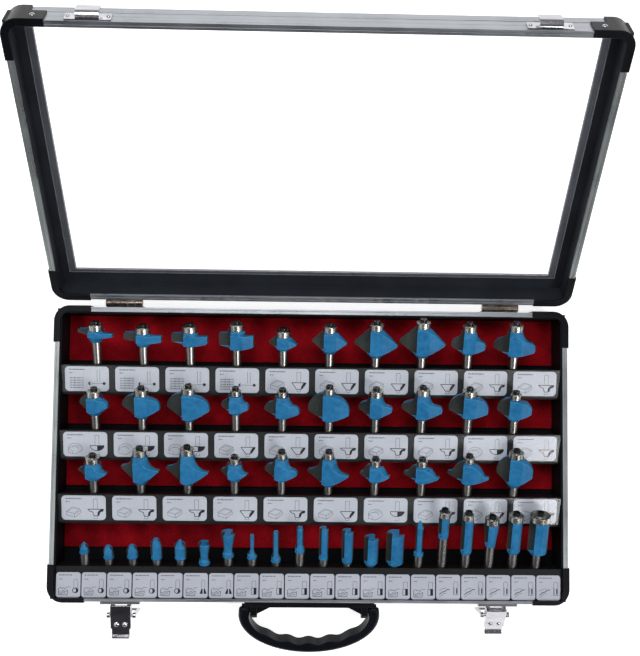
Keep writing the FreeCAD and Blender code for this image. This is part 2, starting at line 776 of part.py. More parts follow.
bit_rows = [
    [
        bit(slotting(17.3, 10.6, 3.6), 22.0, -15, plain_bearing),
        bit(slotting(17.3, 12.0, 6.2), 18.4, -6, plain_bearing),
        bit(rabbeting(16.4, 12.9, 2.6), 19.0, -5, plain_bearing),
        bit(rabbeting(15.6, 17.9, 4.0), 16.3, -5, plain_bearing),
        bit(chamfering(12.6, 12.4), 16.3, -8, plain_bearing),
        bit(chamfering(15.6, 19.5), 14.0, -8, plain_bearing),
        bit(chamfering(19.4, 25.1), 10.8, -10, plain_bearing),
        bit(chamfering(20.4, 27.0), 11.4, -10, plain_bearing),
        bit(ogee(15.0, 21.3, 7.5), 14.4, -10, plain_bearing),
        bit(ogee(18.3, 23.9, 8.0), 12.8, -15, plain_bearing),
    ],
    [
        bit(coving(14.0, 16.7, 6.0), 15.3, -13, plain_bearing),
        bit(coving(17.4, 21.1, 9.0), 12.6, -8, plain_bearing),
        bit(coving(19.4, 25.3, 12.0), 10.4, -8, plain_bearing),
        bit(ogee(12.6, 16.7, 7.0), 17.3, -9, small_bearing),
        bit(ogee(15.9, 19.7, 7.5), 13.6, -10, small_bearing),
        bit(doming(18.4, 25.3, 9.0), 11.2, -11, small_bearing),
        bit(stepped(15.0, 20.8, 9.5), 14.2, -9, plain_bearing),
        bit(stepped(18.0, 23.4, 10.0), 13.6, -9, plain_bearing),
        bit(doming(17.3, 20.9, 8.0), 15.2, -9, plain_bearing),
        bit(doming(15.0, 19.2, 9.0), 14.0, -13, small_bearing),
    ],
    [
        bit(rounding(13.8, 16.4, 5.5), 13.5, -11, plain_bearing),
        bit(rounding(17.6, 26.8, 10.0), 10.4, -9, plain_bearing),
        bit(rounding(19.4, 28.7, 12.4), 10.0, -9, plain_bearing),
        bit(rounding(12.4, 15.7, 5.0), 14.2, -11, small_bearing),
        bit(stepped(15.0, 21.0, 9.0), 14.3, -14, small_bearing),
        bit(rounding(18.7, 25.6, 11.0), 10.1, -12, small_bearing),
        bit(sloping(13.2, 15.3, 7.5), 14.0, -8, small_bearing),
        bit(sloping(15.8, 15.6, 8.0), 13.5, -13, small_bearing),
        bit(sloping(18.4, 19.9, 9.0), 13.0, -13, small_bearing),
        bit(doming(15.6, 27.3, 12.0), 10.9, -14, plain_bearing),
    ],
    [
        bit(v_point(4.4, 9.8), 12.8, -10),
        bit(round_nose(5.0, 12.6), 7.5, -15),
        bit(round_nose(5.4, 13.4), 7.7, -12),
        bit(round_nose(5.3, 20.7), 6.9, -8),
        bit(v_point(5.8, 19.0), 7.0, -20),
        bit(dovetailing(5.6, 20.2, 4.0), 2.3, -14),
        bit(dovetailing(6.6, 22.8, 4.2), 9.9, -12),
        bit(thin_straight(1.6, 22.4), 8.7, -10),
        bit(thin_straight(2.7, 28.3), 5.8, -10),
        bit(thin_straight(3.2, 23.3), 15.0, -12),
        bit(straight(4.1, 29.4), 8.5, -8),
        bit(straight(5.2, 30.4), 5.0, -12),
        bit(straight(6.4, 26.5), 2.6, -10),
        bit(straight(7.7, 30.5), 2.6, -8),
        bit(pilot_point(3.8, 33.6), 12.8, -12),
        bit(trimming(4.75, 20.0), 30.0, -10, small_bearing),
        bit(trimming(5.2, 33.0), 14.6, -14, small_bearing),
        bit(tapering(6.3, 22.0), 22.1, -12, plain_bearing),
        bit(trimming(6.0, 32.0), 15.2, -16, plain_bearing),
        bit(trimming(8.4, 33.3), 14.2, -12, wide_bearing),
    ],
]

for row, bits in enumerate(bit_rows):
    shanks = []
    bodies = []
    tips = []
    bearings = []
    screws = []
    for x, spec in zip(hole_rows[row], bits):
        corners = spec["corners"]
        exposed = spec["exposed"]
        has_bearing = spec["bearing"] > 0
        head_top = exposed + corners[-1][1]
        core = min(core_half_width, core_share * widest(corners))
        seat_low = seat_foot if has_bearing else min(seat_foot, seat_foot_share * corners[-1][1])
        body, plates = build_head(corners, core, seat_low, has_bearing)
        rolled = [turned(solid, ORIGIN, AXIS_Z, spec["roll"]) for solid in [body] + plates]
        placed = [to_rail(moved(solid, V(0, 0, exposed)), x, row) for solid in rolled]
        bodies.append(placed[0])
        tips.extend(placed[1:])
        shank = Part.makeCylinder(shank_radius, shank_depth + exposed, V(0, 0, -shank_depth))
        shanks.append(to_rail(shank, x, row))
        if has_bearing:
            bearing = moved(build_bearing(spec["bearing"]), V(0, 0, head_top + bearing_gap))
            screw = moved(build_screw(), V(0, 0, head_top + bearing_width + 2 * bearing_gap))
            bearings.append(to_rail(bearing, x, row))
            screws.append(to_rail(screw, x, row))
    tag = "row_" + str(row + 1) + "_"
    save(tag + "shanks", shanks)
    save(tag + "cutter_bodies", bodies)
    save(tag + "carbide_tips", tips)
    save(tag + "bearings", bearings)
    save(tag + "bearing_screws", screws)


# ---- lid window -----------------------------------------------------------------------

def opening_block(side_edge, front_edge, rear_edge):
    """A block as thick as the frame, with its own distance in from each outer face."""
    return box(-half_width + side_edge, half_width - side_edge, front + front_edge, rear - rear_edge,
               frame_bottom, pane_bottom)


frame_hole = opening_block(frame_side_edge, frame_front_edge, frame_rear_edge)
trim_hole = opening_block(trim_side_edge, frame_front_edge, trim_rear_edge)
window_frame = inside_walls(skin, frame_bottom, pane_bottom).cut(frame_hole)
save("lid_window_frame", [opened(window_frame)])
save("lid_window_trim", [opened(frame_hole.cut(trim_hole))])
save("lid_window_pane", [opened(inside_walls(pane_edge, pane_bottom, pane_top))])


# ---- hinges ---------------------------------------------------------------------------

def hinge_leaf(start_x, owner):
    """One leaf flat on the rear wall, with every second knuckle: owner 0 is the base's."""
    direction = 1 if owner else -1
    root = hinge_z + direction * (knuckle_radius + knuckle_relief)
    far = root + direction * hinge_leaf_height
    leaf_y = rear + hinge_leaf_thickness
    pieces = [box(start_x, start_x + hinge_width, rear, leaf_y, min(root, far), max(root, far))]
    for index in range(owner, knuckle_count, 2):
        x = start_x + index * (knuckle_length + knuckle_gap)
        tail_end = root + direction * knuckle_tail
        pieces.append(Part.makeCylinder(knuckle_radius, knuckle_length, V(x, hinge_y, hinge_z), AXIS_X))
        pieces.append(box(x, x + knuckle_length, rear + fit_gap, leaf_y,
                          min(hinge_z, tail_end), max(hinge_z, tail_end)))
    pin_bore = Part.makeCylinder(hinge_pin_radius + pin_clearance, hinge_width, V(start_x, hinge_y, hinge_z),
                                 AXIS_X)
    return pieces[0].multiFuse(pieces[1:]).cut(pin_bore)


knuckle_length = (hinge_width - (knuckle_count - 1) * knuckle_gap) / knuckle_count
base_leaves = []
lid_leaves = []
hinge_pins = []
for side in (-1, 1):
    middle_x = side * (half_width - hinge_inset)
    start_x = middle_x - hinge_width / 2
    base_leaves.append(hinge_leaf(start_x, 0))
    lid_leaves.append(opened(hinge_leaf(start_x, 1)))
    hinge_pins.append(Part.makeCylinder(hinge_pin_radius, hinge_width, V(start_x, hinge_y, hinge_z), AXIS_X))
    for end in (-1, 1):
        x = middle_x + end * hinge_rivet_spacing / 2
        away = knuckle_radius + hinge_rivet_drop
        base_rivets.append(rivet(x, rear + hinge_leaf_thickness, hinge_z - away, AXIS_Y))
        lid_rivets.append(rivet(x, rear + hinge_leaf_thickness, hinge_z + away, AXIS_Y))
save("hinge_base_leaves", base_leaves)
save("hinge_lid_leaves", lid_leaves)
save("hinge_pins", hinge_pins)


# ---- draw latches ---------------------------------------------------------------------
# Drawn for a latch at X = 0 with its lever hanging straight down, then swung out to its
# rest angle and moved to each side.

pivot_y = front - latch_pivot_reach
pivot_z = base_height - latch_pivot_drop
loop_z = pivot_z - loop_pivot_distance
plate_y = front - latch_plate_thickness
plate_top = base_height - latch_plate_top
plate_foot = plate_top - latch_plate_height
lever_end = pivot_z - lever_length


def x_cylinder(radius, half_length, y, z):
    return Part.makeCylinder(radius, 2 * half_length, V(-half_length, y, z), AXIS_X)


def on_both_sides(x_near, x_far, y0, y1, z0, z1):
    """Two boxes mirrored about X = 0."""
    return [box(x_near, x_far, y0, y1, z0, z1), box(-x_far, -x_near, y0, y1, z0, z1)]


def pin_holes(z):
    return x_cylinder(latch_pin_radius + pin_clearance, latch_plate_width, pivot_y, z)


def latch_plate():
    """A riveted plate with two ears that hold the lever's pin."""
    plate = box(-latch_plate_width / 2, latch_plate_width / 2, plate_y, front, plate_foot, plate_top)
    ear_inside = ear_half_width - ear_thickness
    ears = on_both_sides(ear_inside, ear_half_width, pivot_y, plate_y, pivot_z - ear_radius,
                         pivot_z + ear_radius)
    noses = x_cylinder(ear_radius, ear_half_width, pivot_y, pivot_z)
    noses = noses.cut(x_cylinder(ear_radius, ear_inside, pivot_y, pivot_z))
    return plate.multiFuse(ears + [noses]).cut(pin_holes(pivot_z))


def latch_lever():
    """A pressed channel that covers the ears, with a turned-out finger lip at its end."""
    back_y = pivot_y - lever_depth
    cheek_y = pivot_y + lever_cheek_reach
    face_y = back_y - lever_sheet
    head_z = pivot_z + lever_head
    back = box(-lever_half_width, lever_half_width, face_y, back_y, lever_end, head_z)
    lip = box(-lever_half_width, lever_half_width, face_y - lever_lip, face_y, lever_end,
              lever_end + lever_sheet)
    outline = [(back_y, head_z), (back_y, lever_end + lever_waist_length), (cheek_y, loop_z - lever_head),
               (cheek_y, head_z)]
    cheek = prism(outline, lever_half_width - lever_sheet, lever_half_width)
    rivets = [rivet(side * lever_rivet_spacing / 2, face_y, pivot_z - lever_rivet_drop, V(0, -1, 0))
              for side in (-1, 1)]
    waist = on_both_sides(lever_half_width - lever_waist, lever_half_width + BEYOND,
                          face_y - lever_lip - BEYOND, back_y + BEYOND,
                          lever_end - BEYOND, lever_end + lever_waist_length)
    lever = back.multiFuse([lip, cheek, cheek.mirror(ORIGIN, AXIS_X)] + rivets)
    return lever.cut(Part.makeCompound(waist + [pin_holes(pivot_z), pin_holes(loop_z)]))


def latch_loop():
    """A rectangular pull frame on its own cross pin, hanging straight down."""
    near_y = pivot_y - loop_thickness / 2
    far_y = pivot_y + loop_thickness / 2
    arm_inside = loop_half_width - loop_arm_width
    eye_radius = latch_pin_radius + loop_eye_wall
    arms = on_both_sides(arm_inside, loop_half_width, near_y, far_y, loop_z - loop_length, loop_z)
    eyes = x_cylinder(eye_radius, loop_half_width, pivot_y, loop_z)
    eyes = eyes.cut(x_cylinder(eye_radius, arm_inside, pivot_y, loop_z))
    bar = box(-loop_half_width, loop_half_width, near_y, far_y, loop_z - loop_length,
              loop_z - loop_length + loop_bar)
    return x_cylinder(latch_pin_radius, loop_half_width, pivot_y, loop_z).multiFuse(arms + [eyes, bar])


def keeper():
    """A plate on the lid with a tongue rolled outwards and up into a hook."""
    y0 = front - keeper_thickness
    z0 = lid_rim + keeper_lift
    half_hook = keeper_hook_width / 2
    z_hook = z0 + keeper_hook_radius
    y_hook = y0 - keeper_hook_radius
    plate = box(-keeper_width / 2, keeper_width / 2, y0, front, z0, z0 + keeper_height)
    ring = x_cylinder(keeper_hook_radius, half_hook, y0, z_hook)
    ring = ring.cut(x_cylinder(keeper_hook_radius - keeper_thickness, half_hook, y0, z_hook))
    quarter = ring.common(box(-half_hook, half_hook, y_hook, y0, z0, z_hook))
    tongue = box(-half_hook, half_hook, y_hook, y_hook + keeper_thickness, z_hook, z_hook + keeper_tongue)
    return plate.multiFuse([quarter, tongue])


latch_plates = []
latch_pins = []
keepers = []
for side, name, angle in ((-1, "left", left_lever_angle), (1, "right", right_lever_angle)):
    middle_x = side * (half_width - latch_inset)
    shift = V(middle_x, 0, 0)
    latch_plates.append(moved(latch_plate(), shift))
    latch_pins.append(moved(x_cylinder(latch_pin_radius, lever_half_width, pivot_y, pivot_z), shift))
    keepers.append(opened(moved(keeper(), shift)))
    pivot = V(0, pivot_y, pivot_z)
    lever = turned(latch_lever(), pivot, AXIS_X, -angle)
    loop = turned(turned(latch_loop(), V(0, pivot_y, loop_z), AXIS_X, angle), pivot, AXIS_X, -angle)
    save("latch_lever_" + name, [moved(lever, shift)])
    save("latch_loop_" + name, [moved(loop, shift)])
    for end in (-1, 1):
        plate_x = middle_x + end * latch_rivet_spacing / 2
        keeper_x = middle_x + end * keeper_rivet_spacing / 2
        base_rivets.append(rivet(plate_x, plate_y, plate_top - latch_rivet_drop, V(0, -1, 0)))
        base_rivets.append(rivet(plate_x, plate_y, plate_foot + latch_rivet_drop, V(0, -1, 0)))
        lid_rivets.append(rivet(keeper_x, front - keeper_thickness, lid_rim + keeper_lift + keeper_height / 2,
                                V(0, -1, 0), keeper_rivet_radius))
save("latch_plates", latch_plates)
save("latch_pins", latch_pins)
save("latch_keepers", keepers)


# ---- handle ---------------------------------------------------------------------------

handle_pivot_y = front - handle_pivot_reach
handle_half = handle_width / 2
handle_middle_y = handle_pivot_y - handle_middle_reach
outer_half_y = handle_length - handle_middle_reach
inner_half_y = outer_half_y - handle_bar
inner_half_x = handle_half - handle_end_bar
eye_outer = handle_half - handle_eye_inset
# Half the opening between the bail's arms where they meet the pivot line.
arm_inside = inner_half_x * math.sqrt(1 - (handle_middle_reach / inner_half_y) ** 2)
lug_outer = arm_inside - handle_lug_gap
lug_inner = lug_outer - handle_lug_thickness


def pivot_cylinder(radius, x_near, x_far):
    """A cylinder on the handle's pivot line and its mirror image."""
    right = Part.makeCylinder(radius, x_far - x_near, V(x_near, handle_pivot_y, handle_pivot_height), AXIS_X)
    return [right, right.mirror(ORIGIN, AXIS_X)]


def handle_plate():
    """The mounting plate with its two pivot lugs, each with a sloping gusset."""
    face_y = front - handle_plate_thickness
    plate_half = handle_half - handle_plate_inset
    foot_z = handle_pivot_height - handle_plate_height / 2
    plate = box(-plate_half, plate_half, face_y, front, foot_z, foot_z + handle_plate_height)
    web = box(lug_inner, lug_outer, handle_pivot_y, front, handle_pivot_height - handle_lug_radius,
              handle_pivot_height + handle_lug_radius)
    gusset_z = handle_pivot_height - gusset_height / 2
    toe = [V(lug_outer, face_y, gusset_z), V(lug_outer, handle_pivot_y - gusset_reach, gusset_z),
           V(lug_inner, handle_pivot_y - gusset_reach, gusset_z),
           V(lug_inner - gusset_length, face_y, gusset_z)]
    gusset = Part.Face(Part.makePolygon(toe + toe[:1])).extrude(V(0, 0, gusset_height))
    sides = [web, web.mirror(ORIGIN, AXIS_X), gusset, gusset.mirror(ORIGIN, AXIS_X)]
    lugs = pivot_cylinder(handle_lug_radius, lug_inner, lug_outer)
    bores = pivot_cylinder(handle_stub_radius + pin_clearance, lug_inner, lug_outer)
    return plate.multiFuse(sides + lugs).cut(Part.makeCompound(bores))


def oval_points(half_x, half_y, steps):
    """Points round an oval whose middle is ahead of the handle's pivots."""
    return [V(half_x * math.cos(2 * math.pi * step / steps),
              handle_middle_y + half_y * math.sin(2 * math.pi * step / steps), 0) for step in range(steps)]


def finger_wave(point):
    """Push the grip's inner edge in at four finger stops and let it out between them."""
    if point.y > handle_middle_y:
        return point
    depth = (handle_middle_y - point.y) / inner_half_y
    wave = math.cos(2 * math.pi * point.x / handle_finger_pitch) * handle_finger_rise * depth
    return V(point.x, point.y + wave, point.z)


def oval_face(points):
    curve = Part.BSplineCurve()
    curve.interpolate(points, PeriodicFlag=True)
    return Part.Face(Part.Wire(curve.toShape()))


def handle_grip():
    """A moulded oval bail with finger waves, drawn straight out from the case, then let down."""
    outer = oval_face(oval_points(handle_half, outer_half_y, 48)).extrude(V(0, 0, handle_bar))
    outer = outer.makeFillet(handle_round, [edge for edge in outer.Edges if edge.Closed])
    inner_points = [finger_wave(point) for point in oval_points(inner_half_x, inner_half_y, 96)]
    inner = oval_face(inner_points).extrude(V(0, 0, handle_bar))
    keep = box(-handle_width, handle_width, handle_pivot_y - handle_width, handle_pivot_y, 0, handle_bar)
    bail = moved(outer.cut(inner).common(keep), V(0, 0, handle_pivot_height - handle_bar / 2))
    eyes = pivot_cylinder(handle_bar / 2, arm_inside + fit_gap, eye_outer)
    stubs = pivot_cylinder(handle_stub_radius, lug_inner + handle_stub_end, eye_outer)
    grip = bail.multiFuse(eyes + stubs)
    return turned(grip, V(0, handle_pivot_y, handle_pivot_height), AXIS_X, handle_rest_angle)


save("handle_plate", [handle_plate()])
save("handle_grip", [handle_grip()])
for side in (-1, 1):
    for lift in (-1, 1):
        base_rivets.append(rivet(side * handle_rivet_spacing / 2, front - handle_plate_thickness,
                                 handle_pivot_height + lift * handle_rivet_rise, V(0, -1, 0)))

save("base_rivets", base_rivets)
save("lid_rivets", [opened(solid) for solid in lid_rivets])
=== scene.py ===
import math
import bpy
from mathutils import Matrix, Vector


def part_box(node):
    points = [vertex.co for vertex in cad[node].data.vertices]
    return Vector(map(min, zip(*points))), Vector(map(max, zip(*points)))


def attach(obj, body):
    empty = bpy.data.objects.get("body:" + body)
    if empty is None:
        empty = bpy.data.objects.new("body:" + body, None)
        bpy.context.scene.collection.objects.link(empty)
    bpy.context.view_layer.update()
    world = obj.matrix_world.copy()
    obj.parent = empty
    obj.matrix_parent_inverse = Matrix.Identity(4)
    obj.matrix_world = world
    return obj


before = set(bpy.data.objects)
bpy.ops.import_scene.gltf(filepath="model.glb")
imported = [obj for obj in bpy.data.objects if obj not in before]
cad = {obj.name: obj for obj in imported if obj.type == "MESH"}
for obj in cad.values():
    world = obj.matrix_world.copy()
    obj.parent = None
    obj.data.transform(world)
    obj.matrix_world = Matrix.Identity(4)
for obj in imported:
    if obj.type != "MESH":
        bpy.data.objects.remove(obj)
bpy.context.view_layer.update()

# ---- Case profiles ---------------------------------------------------------------------
# The sides of tray and lid are aluminium extrusions, satin anodised and mitred at the
# corners, with a fine groove along the rim and another along the outer face. Faint lines
# from the extrusion run along each.


def put(tree, kind, inputs=None, **options):
    """Add a shader node, set its options, and give its sockets values or other outputs."""
    node = tree.nodes.new("ShaderNode" + kind)
    for name, value in options.items():
        setattr(node, name, value)
    for name, value in (inputs or {}).items():
        if isinstance(value, bpy.types.NodeSocket):
            tree.links.new(value, node.inputs[name])
        else:
            node.inputs[name].default_value = value
    return node


def spread(tree, value, start, end, low, high):
    """Map a value that runs from start to end on to low to high."""
    inputs = {"Value": value, "From Min": start, "From Max": end, "To Min": low, "To Max": high}
    return put(tree, "MapRange", inputs).outputs["Result"]


def finish(name, dark, light, rough, scale, bump, stretch=(1, 1, 1), broad_scale=35.0,
           grain=0.0004, bevel=0.0, metallic=0.0, shine=0.5):
    """A surface whose colour and roughness vary with a fine and a broad noise."""
    fine_share = 0.55
    colour_start, colour_end = 0.36, 0.64
    rough_start, rough_end = 0.3, 0.7
    material = bpy.data.materials.new(name)
    material.use_nodes = True
    tree = material.node_tree
    shader = tree.nodes["Principled BSDF"]
    place = put(tree, "TexCoord").outputs["Object"]
    drawn_out = put(tree, "Mapping", {"Vector": place, "Scale": stretch}).outputs["Vector"]
    fine = put(tree, "TexNoise", {"Vector": drawn_out, "Scale": scale, "Detail": 5.0}).outputs["Fac"]
    broad = put(tree, "TexNoise", {"Vector": place, "Scale": broad_scale, "Detail": 3.0}).outputs["Fac"]
    fine_part = put(tree, "Math", {0: fine, 1: fine_share}, operation="MULTIPLY").outputs[0]
    both = {0: broad, 1: 1 - fine_share, 2: fine_part}
    cloud = put(tree, "Math", both, operation="MULTIPLY_ADD").outputs[0]
    colour = put(tree, "ValToRGB", {"Fac": cloud}, name="colour")
    dark_end, light_end = colour.color_ramp.elements
    dark_end.position = colour_start
    dark_end.color = (*dark, 1)
    light_end.position = colour_end
    light_end.color = (*light, 1)
    tree.links.new(colour.outputs["Color"], shader.inputs["Base Color"])
    tree.links.new(spread(tree, cloud, rough_start, rough_end, *rough), shader.inputs["Roughness"])
    relief = put(tree, "Bump", {"Height": fine, "Strength": bump, "Distance": grain})
    if bevel:
        soften = put(tree, "Bevel", {"Radius": bevel}, name="soften", samples=4)
        tree.links.new(soften.outputs["Normal"], relief.inputs["Normal"])
    tree.links.new(relief.outputs["Normal"], shader.inputs["Normal"])
    shader.inputs["Metallic"].default_value = metallic
    shader.inputs["Specular IOR Level"].default_value = shine
    return material


def dress(material, *names):
    """Give the named pieces their finish."""
    for name in names:
        mesh = cad[name].data
        mesh.materials.clear()
        mesh.materials.append(material)


anodised = {"rough": (0.24, 0.36), "scale": 420.0, "bump": 0.05, "bevel": 0.0003, "metallic": 0.92}
# The front and rear profiles are given a darker colour than the side ones as painted shade; the extrusion is
# the same all round.
long_aluminium_painted_shade = finish("satin_aluminium_long_painted_shade", (0.26, 0.28, 0.30), (0.38, 0.40, 0.43),
                        stretch=(0.02, 1, 1), **anodised)
side_aluminium = finish("satin_aluminium_side", (0.32, 0.35, 0.35), (0.44, 0.48, 0.48),
                        stretch=(1, 0.02, 0.02), **anodised)
dress(long_aluminium_painted_shade, "base_front_profile", "base_rear_profile", "lid_front_profile", "lid_rear_profile")
dress(side_aluminium, "base_left_profile", "base_right_profile", "lid_left_profile", "lid_right_profile")

# ---- Corner caps -----------------------------------------------------------------------
# Moulded black plastic caps, riveted over the eight corners of the case, stand proud of
# the profiles. Their faces have a faint orange-peel, and their rounded edges are given a
# paler colour as a painted highlight.


def paint_edge_highlight(material, colour, amount):
    """Paint another colour along the edges of a bevelled finish, as a painted highlight where the edges
    catch the light.
    """
    least_turn, full_turn = 0.995, 0.90
    tree = material.node_tree
    flat_normal = put(tree, "NewGeometry").outputs["Normal"]
    normals = {0: tree.nodes["soften"].outputs["Normal"], 1: flat_normal}
    turn = put(tree, "VectorMath", normals, operation="DOT_PRODUCT").outputs["Value"]
    # This edge mask is a painted highlight: it lightens the colour where the bevelled normal turns away from
    # the flat one.
    edge = spread(tree, turn, least_turn, full_turn, 0.0, amount)
    coat = tree.nodes["colour"].outputs["Color"]
    mixed = put(tree, "MixRGB", {"Fac": edge, "Color1": coat, "Color2": (*colour, 1)})
    tree.links.new(mixed.outputs["Color"], tree.nodes["Principled BSDF"].inputs["Base Color"])


cap_plastic = finish("black_cap_plastic", (0.0016, 0.0018, 0.0030), (0.0040, 0.0044, 0.0068),
                     rough=(0.26, 0.38), scale=900.0, bump=0.05, bevel=0.0009, shine=0.14)
# The paler colour along the caps' edges is a painted highlight.
paint_edge_highlight(cap_plastic, (0.030, 0.033, 0.045), 0.7)
dress(cap_plastic, "base_corner_caps", "lid_corner_caps")

# ---- Linings and window flange ---------------------------------------------------------
# Matt black plastic strips line the walls of tray and lid, mitred like the profiles behind
# them. A flange of the same plastic runs round the lid and carries the window.

lid_black = finish("black_lid_lining", (0.0090, 0.0110, 0.0150), (0.0170, 0.0210, 0.0280),
                   rough=(0.50, 0.68), scale=1400.0, bump=0.15, bevel=0.0003, shine=0.2)
tray_black = finish("black_tray_lining", (0.0015, 0.0020, 0.0032), (0.0050, 0.0060, 0.0085),
                    rough=(0.55, 0.70), scale=1400.0, bump=0.15, bevel=0.0003, shine=0.12)
dress(lid_black, "lid_lining", "lid_window_frame")
dress(tray_black, "base_lining")

# ---- Window ----------------------------------------------------------------------------
# A grey extruded plastic lip edges the opening of the flange, with a paler colour painted
# along its rounded edge as a painted highlight. A clear sheet lies flat behind it and
# closes the lid.

lip_plastic = finish("grey_lip", (0.052, 0.056, 0.070), (0.084, 0.090, 0.105), rough=(0.30, 0.42),
                     scale=600.0, stretch=(1, 0.05, 0.05), bump=0.06, bevel=0.0016, shine=0.35)
# A pale line painted along the lip's rounded edge as a painted highlight.
paint_edge_highlight(lip_plastic, (0.55, 0.57, 0.60), 1.0)
dress(lip_plastic, "lid_window_trim")


def clear(name, tint, gloss_rough, most_haze, streak, ior):
    """A clear sheet: mostly seen through, with a gloss on its outer faces and a little haze."""
    haze_start, haze_end = 0.35, 0.75
    haze_scale = 9.0
    haze_colour = (0.75, 0.77, 0.76, 1)
    material = bpy.data.materials.new(name)
    material.use_nodes = True
    tree = material.node_tree
    tree.nodes.remove(tree.nodes["Principled BSDF"])
    through = put(tree, "BsdfTransparent", {"Color": (*tint, 1)}).outputs[0]
    gloss = put(tree, "BsdfGlossy", {"Roughness": gloss_rough}).outputs[0]
    fresnel = put(tree, "Fresnel", {"IOR": ior}).outputs["Fac"]
    inner_face = put(tree, "NewGeometry").outputs["Backfacing"]
    outer_face = put(tree, "Math", {0: 1.0, 1: inner_face}, operation="SUBTRACT").outputs[0]
    gloss_share = put(tree, "Math", {0: fresnel, 1: outer_face}, operation="MULTIPLY").outputs[0]
    clean = put(tree, "MixShader", {0: gloss_share, 1: through, 2: gloss}).outputs[0]
    place = put(tree, "TexCoord").outputs["Object"]
    drawn_out = put(tree, "Mapping", {"Vector": place, "Scale": streak}).outputs["Vector"]
    noise = put(tree, "TexNoise", {"Vector": drawn_out, "Scale": haze_scale}).outputs["Fac"]
    haze = spread(tree, noise, haze_start, haze_end, 0.0, most_haze)
    milk = put(tree, "BsdfDiffuse", {"Color": haze_colour}).outputs[0]
    sheet = put(tree, "MixShader", {0: haze, 1: clean, 2: milk}).outputs[0]
    tree.links.new(sheet, tree.nodes["Material Output"].inputs["Surface"])
    return material


pane = clear("clear_acrylic", tint=(1.0, 1.0, 1.0), gloss_rough=0.05, most_haze=0.002,
             streak=(1, 1, 1), ior=1.45)
dress(pane, "lid_window_pane")

# ---- Bottom and insert board -----------------------------------------------------------
# A black-faced board closes the underside of the tray. A thicker one lies on it between
# the linings, and carries the rails and the felt.

black_faced = finish("black_hardboard", (0.0010, 0.0013, 0.0020), (0.0034, 0.0040, 0.0055),
                     rough=(0.6, 0.8), scale=700.0, bump=0.25, shine=0.08)
dress(black_faced, "bottom_panel", "insert_board")

# ---- Felt ------------------------------------------------------------------------------
# Strips of red needle felt lie on the board between the rails. The pile has small darker
# tufts, and a faint sheen where it catches the light.

felt = finish("red_felt", (0.100, 0.0008, 0.0030), (0.380, 0.0045, 0.0110), rough=(0.85, 1.0),
              scale=1600.0, broad_scale=45.0, bump=0.9, grain=0.0009, shine=0.08)
felt_shader = felt.node_tree.nodes["Principled BSDF"]
felt_shader.inputs["Sheen Weight"].default_value = 0.08
felt_shader.inputs["Sheen Tint"].default_value = (0.9, 0.05, 0.06, 1)
dress(felt, "felt_strips")

# ---- Rails -----------------------------------------------------------------------------
# Four matt black plastic rails stand on the board and hold the bits in slanting holes.
# Three have a sloping top for the wide cards, and the front one is flat.

rail_plastic = finish("black_rail", (0.0030, 0.0036, 0.0046), (0.0085, 0.0095, 0.0110),
                      rough=(0.45, 0.6), scale=900.0, bump=0.15, bevel=0.0004, shine=0.2)
dress(rail_plastic, "bit_rail_1", "bit_rail_2", "bit_rail_3", "bit_rail_4")

# ---- Wide cards ------------------------------------------------------------------------
# White cards with rounded corners lie on the three sloping rails, ten to a rail. Each is
# printed with two ruled lines, a piece of wood and the bit that shapes it, grey for the
# fine lines and black for the profile.

card_paper = {"rough": (0.45, 0.6), "scale": 900.0, "bump": 0.05, "shine": 0.3}
white_card = finish("card_white", (0.53, 0.55, 0.62), (0.61, 0.635, 0.70), **card_paper)
dress(white_card, "wide_label_cards")

millimetre = 0.001
card_face = next(face.normal for face in cad["wide_label_cards"].data.polygons if face.normal.z > 0.5)
card_slope = math.atan2(-card_face.y, card_face.z)
card_setback = (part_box("bit_rail_1")[1].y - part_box("wide_label_cards")[1].y) / millimetre
card_margin = card_setback / math.cos(card_slope)
card_thickness = (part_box("narrow_label_cards")[1].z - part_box("narrow_label_cards")[0].z) / millimetre
print_lift = 0.06
hair_line = 0.2
grid_line = 0.22
fine_line = 0.32
bold_line = 0.6
grey_print = {"points": [], "faces": []}
black_print = {"points": [], "faces": []}


def card_lefts(cards, rail, count):
    """The left edges of the cards that share a rail evenly, in millimetres."""
    first_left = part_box(cards)[0].x / millimetre
    pitch = 2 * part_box(rail)[1].x / millimetre / count
    return [first_left + number * pitch for number in range(count)]


def on_wide_card(rail, left):
    """A function that puts a point, measured from a card's left and rear edges, on its face."""
    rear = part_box(rail)[1].y / millimetre
    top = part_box(rail)[1].z / millimetre
    lift = card_thickness + print_lift

    def place(across, down):
        forward = card_margin + down
        y = rear - forward * math.cos(card_slope) - lift * math.sin(card_slope)
        z = top - forward * math.sin(card_slope) + lift * math.cos(card_slope)
        return ((left + across) * millimetre, y * millimetre, z * millimetre)
    return place


def fill(ink, place, points):
    """A printed area."""
    first = len(ink["points"])
    ink["points"] += [place(x, y) for x, y in points]
    ink["faces"].append(tuple(range(first, first + len(points))))


def stroke(ink, place, points, width=fine_line):
    """A printed line through the points, as flat quads. Repeated points draw nothing."""
    shortest = 0.01
    for (x0, y0), (x1, y1) in zip(points, points[1:]):
        length = math.hypot(x1 - x0, y1 - y0)
        if length < shortest:
            continue
        aside_x = -(y1 - y0) / length * width / 2
        aside_y = (x1 - x0) / length * width / 2
        fill(ink, place, [(x0 - aside_x, y0 - aside_y), (x0 + aside_x, y0 + aside_y),
                          (x1 + aside_x, y1 + aside_y), (x1 - aside_x, y1 - aside_y)])


def dashes(ink, place, x0, x1, y, height):
    """A ruled line of short strokes, which stands for a line of words."""
    lengths = (1.3, 0.8, 1.7, 1.1)
    space = 0.45
    start = x0
    count = 0
    while start < x1:
        length = lengths[count % len(lengths)]
        end = min(start + length, x1)
        fill(ink, place, [(start, y), (end, y), (end, y + height), (start, y + height)])
        start += length + space
        count += 1


def arc(middle_x, middle_y, radius_x, radius_y, start, end, steps=8):
    """Points along part of an ellipse, from one angle to another in degrees."""
    turns = [math.radians(start + (end - start) * step / steps) for step in range(steps + 1)]
    return [(middle_x + radius_x * math.cos(turn), middle_y + radius_y * math.sin(turn))
            for turn in turns]


